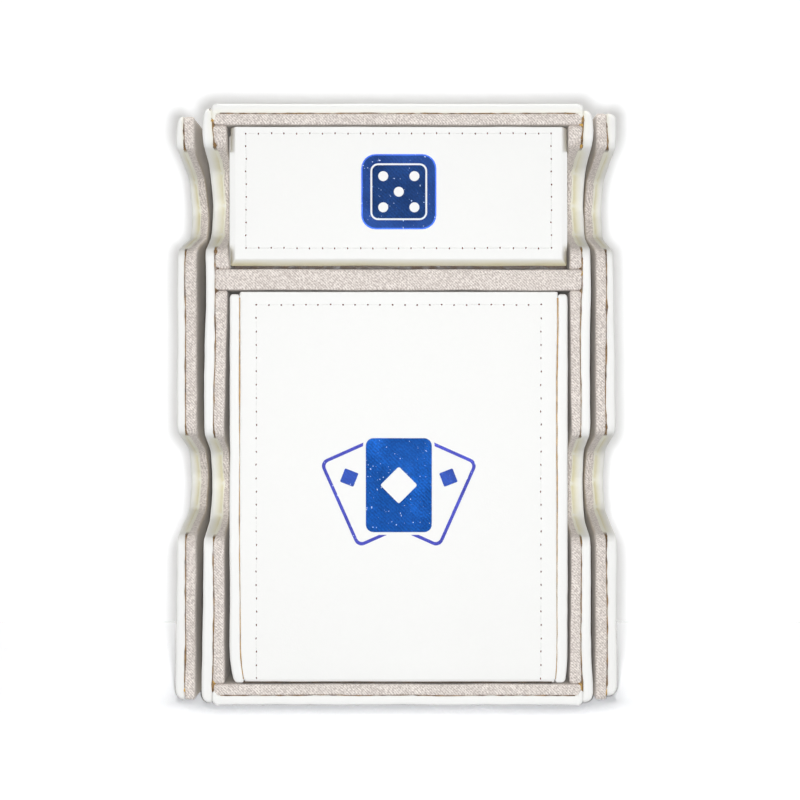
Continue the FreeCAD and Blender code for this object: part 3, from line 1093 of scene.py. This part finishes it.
def needle_cutter(name, places, face_y, width, tall, chance):
    """Cutter for a seam's needle holes, one tapered pin for each."""
    clear_selection()
    bpy.ops.mesh.primitive_cone_add(vertices=8, radius1=0.5, radius2=0.32, depth=1.0, rotation=(-math.pi / 2, 0, 0))
    bpy.context.object.scale = (width, tall, PIN_DEPTH)
    pin = settle(name)
    round_edges(0.05 * MM, 1)
    spots = []
    for place in places:
        shift = Vector((chance.uniform(-1, 1), 0, chance.uniform(-1, 1))) * PIN_SHIFT
        turn = Matrix.Rotation(chance.uniform(-PIN_TURN, PIN_TURN), 4, "Y")
        spots.append(Matrix.Translation(Vector((place.x, face_y, place.z)) + shift) @ turn)
    return copies(pin, name, spots)


def one_stitch(name, span, thick):
    """One stitch along X, whose ends dip into the needle holes."""
    clear_selection()
    bpy.ops.mesh.primitive_cylinder_add(vertices=6, radius=thick / 2, depth=span * 0.5, rotation=(0, math.pi / 2, 0))
    piece = settle(name)
    for end in (-1, 1):
        pick("FACE", lambda f: f.normal.x * end > 0.9)
        bpy.ops.mesh.extrude_region_move(TRANSFORM_OT_translate={"value": (end * span * 0.15, thick * 0.25, 0)})
        bpy.ops.transform.resize(value=(1, 0.9, 0.9))
        bpy.ops.mesh.extrude_region_move(TRANSFORM_OT_translate={"value": (end * span * 0.03, thick * 1.2, 0)})
        bpy.ops.transform.resize(value=(1, 0.6, 0.6))
    return piece


def sew(name, runs, face_y, thick):
    """Thread along straight runs of needle holes."""
    span = (runs[0][1] - runs[0][0]).length
    stitch = one_stitch(name, span, thick)
    spots = []
    for run in runs:
        for first, last in zip(run, run[1:]):
            turn = Matrix.Rotation(-math.atan2(last.z - first.z, last.x - first.x), 4, "Y")
            size = Matrix.Scale((last - first).length / span, 4, (1, 0, 0))
            middle = (first + last) / 2
            spots.append(Matrix.Translation((middle.x, face_y, middle.z)) @ turn @ size)
    return copies(stitch, name, spots)


def pierce(piece, cutter):
    """Cut a seam's needle holes into a front, with painted shade inside."""
    take_up(piece)
    piece.data.materials.append(bpy.data.materials["leatherette_wrap"])
    cutter.data.materials.append(bpy.data.materials["needle_hole"])
    modify(piece, "BOOLEAN", object=cutter, operation="DIFFERENCE", solver="EXACT", material_mode="TRANSFER")
    bpy.data.objects.remove(cutter)


def slice_beside(axis, lines):
    """Cut an open front on both sides of its seams."""
    slice_at(axis, [line + cut for line in lines for cut in SEAM_CUTS])


def dent_seam(piece, runs, back):
    """Pull a front in along its seams, as far back as the given depth."""
    lines = [(run[0].xz, run[-1].xz) for run in runs]

    def weight(place):
        return math.exp(-(reach_to(place.xz, lines) / DENT_REACH) ** 2) if place.y < back else 0.0
    push(piece, "Y", SEAM_DENT, weight)


def set_aside(piece):
    """Move a front's piece to where it sits in its bay, a little to the right."""
    move_by(piece, "X", lambda place: shape().front_shift)


# Drawer front: thickness of its sloping part, where its sides start and end to bulge out beside the notches, how far
# they bulge, and how far back and how far in from the slope the bulge goes
SLOPE_DEPTH = 2.4 * MM
BULGE_FOOT = (113 * MM, 116 * MM)
BULGE_TOP = (138.2 * MM, 139 * MM)
BULGE = 2 * MM
BULGE_BACK = 2.75 * MM
BULGE_IN = 0.4 * MM
BULGE_CUTS = [height * MM for height in (113.2, 114.0, 115.0, 116.0, 138.1, 138.4, 138.8, 139.1)]


def open_side(place):
    """1 on the drawer front's side edges beside the notches, where the front bulges out of its bay."""
    return ramp(place.z, *BULGE_FOOT) * (1 - ramp(place.z, *BULGE_TOP))


class DECKBOX_OT_drawer_front(bpy.types.Operator):
    """Wrap and sew the drawer's front"""
    bl_idname = "deckbox.drawer_front"
    bl_label = "Drawer front"

    def execute(self, context):
        seams = context.scene.deck_box_stitching
        chance = random.Random(4)
        low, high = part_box("drawer_front_panel")
        half, top, bottom = seams.drawer_half_width, seams.drawer_top, seams.drawer_bottom
        across, up = seams.drawer_columns, seams.drawer_rows
        runs = [seam_places((-half, height), (half, height), across) for height in (top, bottom)]
        runs += [seam_places((x, bottom), (x, top), up) for x in (-half, half)]
        # Painted shadow: a dark strip in the gap below the drawer front
        strip = new_block("drawer_foot_glue", (low.x + 0.1 * MM, low.y + 2.2 * MM, low.z),
                          (high.x - 0.1 * MM, high.y, low.z + 1 * MM))
        slice_up(0, 4 * MM)
        low.z += shape().drawer_lift
        piece = new_block("drawer_face", low, high)
        slice_at(1, [low.y + SLOPE_DEPTH])
        pick("FACE", lambda f: f.normal.y < -0.9)
        slant, foot = shape().drawer_slant, shape().drawer_foot
        size = high - low
        bpy.ops.transform.resize(value=(1 - 2 * slant / size.x, 1, 1 - foot / size.z))
        bpy.ops.transform.translate(value=(0, 0, foot / 2))
        round_edges(0.3 * MM, 4)
        slice_up(0, 4 * MM)
        slice_up(2, 4 * MM)
        slice_at(2, BULGE_CUTS)
        slice_beside(0, (-half, half))
        slice_beside(2, (bottom, top))
        edge_x, edge_z = high.x - slant, low.z + foot
        push(piece, "Y", -BULGE, lambda place: open_side(place) * held((place.y - low.y) / SLOPE_DEPTH)
             if place.y < low.y + BULGE_BACK and abs(place.x) > edge_x - BULGE_IN else 0.0)
        dent_seam(piece, runs, low.y + 0.8 * MM)
        ripple(piece, 0.12 * MM, 16 * MM, "Y")
        ripple(piece, 0.18 * MM, 12 * MM, "XZ")
        # Painted shade: ivory on the sloping bottom and side edges, but not beside the notches, where light comes in
        paint(piece, "stretch", lambda place: (1 - open_side(place)) * max(
            ramp(place.z, edge_z - 0.1 * MM, edge_z - 0.5 * MM),
            0.5 * ramp(abs(place.x), edge_x + 0.2 * MM, edge_x + 0.6 * MM)))
        places = runs[0] + runs[1] + runs[2][1:-1] + runs[3][1:-1]
        pierce(piece, needle_cutter("pins", places, low.y, seams.hole_width, seams.hole_width * 1.5, chance))
        thread = sew("drawer_thread", runs, low.y + 0.11 * MM, seams.thread)
        for part in (piece, thread, strip):
            set_aside(part)
        hand_over(piece, "drawer", "leatherette_wrap", "drawer_front_panel", slot="leatherette")
        hand_over(thread, "drawer", "thread")
        hand_over(strip, "drawer", "dark_glue")
        return {"FINISHED"}


# Card tray: height of the bend at its rims' feet and how far each side bends in, where the front starts and ends to
# follow its sides, how round the rims' ends are, and how far a rim's outer face stands out
CURL_TALL = 9 * MM
CURL = {-1: 1.0 * MM, 1: 0.5 * MM}
CURL_START = 37 * MM
STRAY_START = (37.5 * MM, 39 * MM)
DOME = 0.6 * MM
RIM_OUT = 0.12 * MM


def tray_curl(place, foot):
    """How far the tray's sides bend inwards near their feet."""
    return max(0.0, (foot + CURL_TALL - place.z) / CURL_TALL) ** 2


def tray_stray(side, height):
    """Shift of the glued seam beside the tray's front at a height."""
    if side < 0:
        return 0.1 * MM + 0.3 * MM * (1 - ramp(height, 10 * MM, 45 * MM))
    return -0.3 * MM * (1 - ramp(height, 80 * MM, 98 * MM))


def dome_ends(piece, low, high):
    """Round an upright rim's two ends like finger tips."""
    middle, half = (low.x + high.x) / 2, (high.x - low.x) / 2

    def fall(place):
        return 1 - math.sqrt(1 - min(abs(place.x - middle) / half, 1.0) ** 2)
    push(piece, "Z", -DOME, lambda place: fall(place) * ramp(place.z, high.z - 2 * MM, high.z - 0.5 * MM))
    push(piece, "Z", DOME, lambda place: fall(place) * ramp(place.z, low.z + 2 * MM, low.z + 0.5 * MM))


class DECKBOX_OT_tray_front(bpy.types.Operator):
    """Wrap and sew the card tray's front and side rims"""
    bl_idname = "deckbox.tray_front"
    bl_label = "Tray front"

    def front(self, seams, low, high):
        """Sewn front and the painted shadow strip below it."""
        chance = random.Random(9)
        half, top = seams.tray_half_width, seams.tray_top
        foot = low.z + 1.2 * MM
        runs = [seam_places((-half, top), (half, top), seams.tray_columns)]
        runs += [seam_places((x, foot), (x, top), seams.tray_rows) for x in (-half, half)]
        piece = new_block("tray_face", low, high)
        round_edges(1.3 * MM, 5, lambda edge: runs_along(edge, 0) and near(middle_of(edge).y, low.y)
                    and near(middle_of(edge).z, low.z))
        round_edges(0.6 * MM, 4, lambda edge: runs_along(edge, 2))
        round_edges(0.35 * MM, 4)
        slice_up(0, 5 * MM)
        slice_up(2, 4 * MM)
        slice_beside(0, (-half, half))
        slice_beside(2, (top,))
        dent_seam(piece, runs, low.y + 0.6 * MM)
        for side in (-1, 1):
            push(piece, "X", -side * CURL[side],
                 lambda place: tray_curl(place, low.z) * ramp(side * place.x, CURL_START, high.x))
            move_by(piece, "X", lambda place: tray_stray(side, place.z) * ramp(side * place.x, *STRAY_START))
        ripple(piece, 0.12 * MM, 18 * MM, "Y")
        hole = seams.hole_width
        pins = [needle_cutter("row_pins", runs[0], low.y, hole * 1.4, hole * 1.15, chance),
                needle_cutter("column_pins", runs[1][:-1] + runs[2][:-1], low.y, hole * 0.85, hole * 1.7, chance)]
        pierce(piece, join("pins", pins))
        thread = sew("tray_thread", runs, low.y + 0.13 * MM, seams.thread)
        for part in (piece, thread):
            set_aside(part)
        hand_over(piece, "tray", "leatherette_wrap", "tray_front_panel", slot="leatherette")
        hand_over(thread, "tray", "thread")
        # Painted shadow: a dark strip in the gap below the tray front
        strip = new_block("tray_foot_glue", (low.x + 1 * MM, low.y + 0.4 * MM, low.z),
                          (high.x - 1 * MM, high.y, low.z + 0.6 * MM))
        slice_up(0, 4 * MM)
        ripple(strip, 0.2 * MM, 3 * MM, "Y")
        hand_over(strip, "tray", "dark_glue")

    def side(self, hand, side):
        """Side rim. Returns the glue between it and the front."""
        low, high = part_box(f"tray_{hand}_panel")
        high.z -= 0.3 * MM
        rim = new_block(f"tray_side_{hand}", low, high)
        round_edges(shape().tray_round, 5)
        slice_up(1, 8 * MM)
        slice_up(2, 3 * MM)
        dome_ends(rim, low, high)
        push(rim, "X", -side * CURL[side], lambda place: tray_curl(place, low.z))
        move_by(rim, "X", lambda place: side * RIM_OUT + (tray_stray(side, place.z) - side * RIM_OUT)
                * share_inwards(place, low, high, side))
        set_aside(rim)
        wander(rim)
        hand_over(rim, "tray", "leatherette_wrap", f"tray_{hand}_panel", slot="leatherette")
        seam = inner_face(low, high, side)
        strip = new_block("glue", (seam - GLUE_HALF, low.y + 0.18 * MM, low.z + 1.0 * MM),
                          (seam + GLUE_HALF, low.y + 3 * MM, high.z - 1.0 * MM))
        slice_up(2, 2 * MM)
        push(strip, "X", -side * CURL[side], lambda place: tray_curl(place, low.z))
        move_by(strip, "X", lambda place: shape().front_shift + tray_stray(side, place.z))
        wander(strip)
        return strip

    def execute(self, context):
        low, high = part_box("tray_front_panel")
        high.z += 0.2 * MM
        self.front(context.scene.deck_box_stitching, low, high)
        glue = [self.side(hand, side) for hand, side in HANDS]
        hand_over(join("tray_glue", glue), "tray", "tan_glue")
        return {"FINISHED"}


# Foil

FOIL_HALF = 0.04
FOIL_OUT = 0.05 * MM
CUTTER_DEPTH = 20
PIP_RADIUS = 1.25 * MM
PIP_STEP = 3.9 * MM
FAN_RADIUS = 18.5 * MM


def foil_plate(name, middle, width, tall, corner, turn=0.0, deeper=1):
    """Thin plate with rounded corners, in millimetres, facing the front, or a cutter that is many times deeper."""
    half = Vector((width / 2, FOIL_HALF, tall / 2)) * MM
    piece = new_block(name, -half, half)
    round_edges(corner * MM, 6, lambda edge: runs_along(edge, 1))
    clear_selection()
    piece.matrix_world = (Matrix.Translation(middle) @ Matrix.Rotation(turn, 4, "Y")
                          @ Matrix.Scale(deeper, 4, (0, 1, 0)))
    take_up(piece)
    apply_place()
    return piece


def cut_with(piece, cutter):
    """Cut a plate with a cutter, which goes."""
    modify(piece, "BOOLEAN", object=cutter, operation="DIFFERENCE", solver="EXACT")
    bpy.data.objects.remove(cutter)


def cut_plate(piece, middle, width, tall, corner, turn=0.0):
    """Cut the shape of one plate out of another."""
    cut_with(piece, foil_plate("cutter", middle, width, tall, corner, turn, CUTTER_DEPTH))


class DECKBOX_OT_foil_marks(bpy.types.Operator):
    """Stamp the blue foil on the two fronts: a die face and a fan of cards"""
    bl_idname = "deckbox.foil_marks"
    bl_label = "Foil marks"

    def die(self):
        """Die face with five pips inside a border and an outline."""
        middle = Vector((0.5 * MM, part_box("drawer_front_panel")[0].y - FOIL_OUT, 128.4 * MM))
        plates = []
        for name, outer, outer_corner, inner, inner_corner, edge in (("die_outline", 18.8, 3.6, 18.1, 3.25, 1.0),
                                                                     ("die_border", 18.1, 3.25, 14.2, 1.9, 0.12)):
            ring = foil_plate(name, middle, outer, outer, outer_corner)
            cut_plate(ring, middle, inner, inner, inner_corner)
            paint(ring, "edge", lambda place: edge)
            plates.append(ring)
        face = foil_plate("die_face", middle, 13.3, 13.3, 1.5)
        for x, z in ((0, 0), (-1, -1), (-1, 1), (1, -1), (1, 1)):
            clear_selection()
            bpy.ops.mesh.primitive_cylinder_add(vertices=40, radius=PIP_RADIUS, depth=2 * MM,
                                                rotation=(math.pi / 2, 0, 0),
                                                location=middle + Vector((x, 0, z)) * PIP_STEP)
            cut_with(face, settle("pip"))
        paint(face, "edge", lambda place: 0.0)
        return plates + [face]

    def fan(self):
        """Three cards spread round a point below them: two outlines with pips, and a full one before them."""
        pivot = Vector((0.5 * MM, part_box("tray_front_panel")[0].y - FOIL_OUT, 36.5 * MM))
        plates = []
        for turn in (-24, 24, 0):
            angle = math.radians(turn)
            spot = pivot + Vector((math.sin(angle), 0, math.cos(angle))) * FAN_RADIUS
            card = foil_plate("card", spot, 16.5, 23.5, 1.9, angle)
            if turn:
                cut_plate(card, spot, 14.9, 21.9, 1.3, angle)
                cut_plate(card, pivot + Vector((0, 0, FAN_RADIUS)), 17.9, 24.9, 2.4)
                pip = foil_plate("pip", spot + Vector((math.sin(angle) * 12 * MM, 0, 3.5 * MM)), 3.6, 3.6, 0.3,
                                 angle + math.pi / 4)
                paint(pip, "edge", lambda place: 0.4)
                plates.append(pip)
            else:
                cut_plate(card, spot, 6.6, 6.6, 0.5, math.pi / 4)
            paint(card, "edge", lambda place: 1.0 if turn else 0.0)
            plates.append(card)
        return plates

    def execute(self, context):
        hand_over(join("drawer_foil", self.die()), "drawer", "navy_foil")
        hand_over(join("tray_foil", self.fan()), "tray", "blue_foil")
        return {"FINISHED"}


class DECKBOX_OT_plain_boards(bpy.types.Operator):
    """Give the boards that keep their solid shape their finishes"""
    bl_idname = "deckbox.plain_boards"
    bl_label = "Plain boards"

    def execute(self, context):
        for name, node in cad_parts.items():
            finish = "leatherette_wrap"
            if "magnets" in name:
                finish = "nickel_plate"
            elif "lining" in name or name == "divider_panel":
                finish = "microfibre_wrap"
            node.data.materials.clear()
            node.data.materials.append(bpy.data.materials[finish])
        return {"FINISHED"}


# Stage

# Tones of the floor at its front and far behind, where the change starts and ends, and how far the paper's grain goes
FLOOR_TONE = (0.15, 0.29)
BACKDROP_TONE = (0.98, 0.98)
PALER_FROM = -140 * MM
PALER_TO = 127 * MM
PAPER = 0.004
FLOOR_LEAN = (0, -0.55, 0.835)
BACKDROP_LEAN = (0, -1, 0)
BACKDROP_GLOW = 0.12


def seen_directly(tree):
    """1 for what the camera sees, also in gloss or through glass, or else 0."""
    rays = tree.nodes.new("ShaderNodeLightPath").outputs
    first = sum_of(tree, rays["Is Camera Ray"], rays["Is Glossy Ray"])
    return between(tree, sum_of(tree, first, rays["Is Transmission Ray"]), 0, 1)


def white_ground(name, albedo, glow, lean, open_behind):
    """Floor or backdrop that looks white in its own light and keeps a shadow. It takes light as if it leaned, and is
    paler far from the lamps. A backdrop lets light and the view from behind through."""
    material = bpy.data.materials.new(name)
    material.use_nodes = True
    tree = material.node_tree
    tree.nodes.remove(tree.nodes["Principled BSDF"])
    place = object_place(tree)
    depth = add(tree, "ShaderNodeSeparateXYZ", Vector=place).outputs["Y"]
    paper = add(tree, "ShaderNodeTexNoise", Vector=place, Scale=40.0).outputs["Fac"]
    level = sum_of(tree, spread(tree, depth, PALER_FROM, PALER_TO, *albedo), paper, PAPER)
    white = add(tree, "ShaderNodeCombineColor", Red=level, Green=level, Blue=level).outputs["Color"]
    direct = seen_directly(tree)
    slope = add(tree, "ShaderNodeCombineXYZ", X=lean[0], Y=lean[1], Z=lean[2]).outputs[0]
    matt = add(tree, "ShaderNodeBsdfDiffuse", Color=mix(tree, direct, (0, 0, 0), white), Normal=slope)
    strength = between(tree, direct, bpy.context.scene.deck_box_stage.bounce, glow)
    light = add(tree, "ShaderNodeEmission", Color=(1, 1, 1), Strength=strength)
    surface = wire_all(tree, add(tree, "ShaderNodeAddShader"), {0: matt.outputs[0], 1: light.outputs[0]}).outputs[0]
    if open_behind:
        behind = add(tree, "ShaderNodeNewGeometry").outputs["Backfacing"]
        shown = between(tree, sum_of(tree, direct, behind, -1.0), 0, 1)
        clear = add(tree, "ShaderNodeBsdfTransparent").outputs[0]
        surface = wire_all(tree, add(tree, "ShaderNodeMixShader"), {0: shown, 1: clear, 2: surface}).outputs[0]
    wire(tree, surface, tree.nodes["Material Output"].inputs["Surface"])
    return material


def ground_plane(name, size, location, turn, material):
    """Plane of the stage."""
    clear_selection()
    bpy.ops.mesh.primitive_plane_add(size=size, location=location, rotation=(turn, 0, 0))
    plane = bpy.context.object
    plane.name = name
    plane.data.materials.append(material)
    return plane


def add_lamp(name, kind, strength):
    """New light in the scene."""
    lamp = bpy.data.objects.new(name, bpy.data.lights.new(name, kind))
    lamp.data.energy = strength
    bpy.context.scene.collection.objects.link(lamp)
    return lamp


def sun(name, strength, direction, angle):
    """Distant light that shines along a direction."""
    lamp = add_lamp(name, "SUN", strength)
    lamp.data.angle = math.radians(angle)
    lamp.rotation_euler = Vector(direction).to_track_quat("-Z", "Y").to_euler()
    return lamp


def lights_only(lamp, piece):
    """Keep a lamp's light off everything but one piece of the stage."""
    lit = bpy.data.collections.new("lit_by_" + lamp.name)
    lit.objects.link(piece)
    lamp.light_linking.receiver_collection = lit


class DECKBOX_OT_stage(bpy.types.Operator):
    """Set the floor, the backdrop, the light and the camera"""
    bl_idname = "deckbox.stage"
    bl_label = "Stage"

    def light(self, scene, stage, low, floor, backdrop):
        """Light from all round, from distant lights and from the lamps beside the camera."""
        world = bpy.data.worlds.new("studio")
        world.use_nodes = True
        tree = world.node_tree
        sky = tree.nodes["Background"]
        direct = seen_directly(tree)
        wire(tree, between(tree, direct, stage.dome, 1.0), sky.inputs["Strength"])
        wire(tree, mix(tree, direct, stage.dome_tint, (1, 1, 1)), sky.inputs["Color"])
        scene.world = world
        for name, strength, direction, angle in (
                ("key", stage.key, (0, 1, -0.55), 30),
                ("top_1", stage.top / 4, (0.017, -0.03, -1), 1.5),
                ("top_2", stage.top / 4, (-0.017, -0.055, -1), 1.5),
                ("top_3", stage.top / 4, (0.017, -0.08, -1), 1.5),
                ("top_4", stage.top / 4, (-0.017, -0.105, -1), 1.5),
                ("left", stage.sides, (1, 0.3, -0.3), 25),
                ("right", stage.sides, (-1, 0.3, -0.3), 25),
                ("rear", stage.rear, (0, -1, -0.25), 25)):
            sun(name, strength, direction, angle)
        lights_only(sun("floor_front", stage.floor_top, (0, -0.067, -1), 6), floor)
        for name, strength, ground in (("axis", stage.axis, None), ("backdrop_wash", stage.wash, backdrop),
                                       ("floor_wash", stage.floor_wash, floor)):
            lamp = add_lamp(name, "POINT", strength)
            lamp.data.color = stage.lamp_tint
            lamp.data.shadow_soft_size = stage.lamp_radius
            lamp.location = (stage.camera_x, low.y - stage.lamp_distance, stage.camera_z + stage.lamp_lift)
            if ground:
                lights_only(lamp, ground)

    def execute(self, context):
        scene = context.scene
        stage = scene.deck_box_stage
        low, high = Vector(CAD_BOX[0]), Vector(CAD_BOX[1])
        floor = ground_plane("floor", 6, (0, 0, low.z), 0,
                             white_ground("floor_white", FLOOR_TONE, 0, FLOOR_LEAN, False))
        backdrop = ground_plane("backdrop", 2, (0, high.y + stage.backdrop, low.z + 1), math.pi / 2,
                                white_ground("backdrop_white", BACKDROP_TONE, BACKDROP_GLOW, BACKDROP_LEAN, True))
        self.light(scene, stage, low, floor, backdrop)
        camera = bpy.data.objects.new("camera", bpy.data.cameras.new("camera"))
        camera.data.lens = stage.lens
        camera.data.sensor_width = 36
        camera.data.clip_start = 0.01
        camera.location = (stage.camera_x, low.y - stage.distance, stage.camera_z)
        camera.rotation_euler = (math.pi / 2, 0, 0)
        scene.collection.objects.link(camera)
        scene.camera = camera
        scene.view_settings.view_transform = "Standard"
        return {"FINISHED"}


OPERATORS = [DECKBOX_OT_finishes, DECKBOX_OT_plain_boards, DECKBOX_OT_frame_boards, DECKBOX_OT_frame_linings,
             DECKBOX_OT_cover_boards, DECKBOX_OT_glue_lines, DECKBOX_OT_corner_glue, DECKBOX_OT_drawer_front,
             DECKBOX_OT_tray_front, DECKBOX_OT_foil_marks, DECKBOX_OT_stage]
GROUPS = {"deck_box_shape": DeckBoxShape, "deck_box_stitching": DeckBoxStitching, "deck_box_colours": DeckBoxColours,
          "deck_box_stage": DeckBoxStage}


class DECKBOX_PT_panel(bpy.types.Panel):
    """Steps and sizes of the deck box"""
    bl_idname = "DECKBOX_PT_panel"
    bl_label = "Deck Box"
    bl_space_type = "VIEW_3D"
    bl_region_type = "UI"
    bl_category = "Deck Box"

    def draw(self, context):
        for operator in OPERATORS:
            self.layout.operator(operator.bl_idname)
        for name, group in GROUPS.items():
            box = self.layout.box()
            for key in group.__annotations__:
                box.prop(getattr(context.scene, name), key)


def register():
    """Add the settings, the steps and the panel."""
    for name, group in GROUPS.items():
        bpy.utils.register_class(group)
        setattr(bpy.types.Scene, name, bpy.props.PointerProperty(type=group))
    for operator in OPERATORS:
        bpy.utils.register_class(operator)
    bpy.utils.register_class(DECKBOX_PT_panel)


def unregister():
    """Take the panel, the steps and the settings away."""
    bpy.utils.unregister_class(DECKBOX_PT_panel)
    for operator in reversed(OPERATORS):
        bpy.utils.unregister_class(operator)
    for name, group in GROUPS.items():
        delattr(bpy.types.Scene, name)
        bpy.utils.unregister_class(group)


def main():
    """Build the looks step by step."""
    register()
    bpy.ops.deckbox.finishes()
    bpy.ops.deckbox.plain_boards()
    bpy.ops.deckbox.frame_boards()
    bpy.ops.deckbox.frame_linings()
    bpy.ops.deckbox.cover_boards()
    bpy.ops.deckbox.glue_lines()
    bpy.ops.deckbox.corner_glue()
    bpy.ops.deckbox.drawer_front()
    bpy.ops.deckbox.tray_front()
    bpy.ops.deckbox.foil_marks()
    bpy.ops.deckbox.stage()
    clear_selection()


if __name__ == "__main__":
    main()
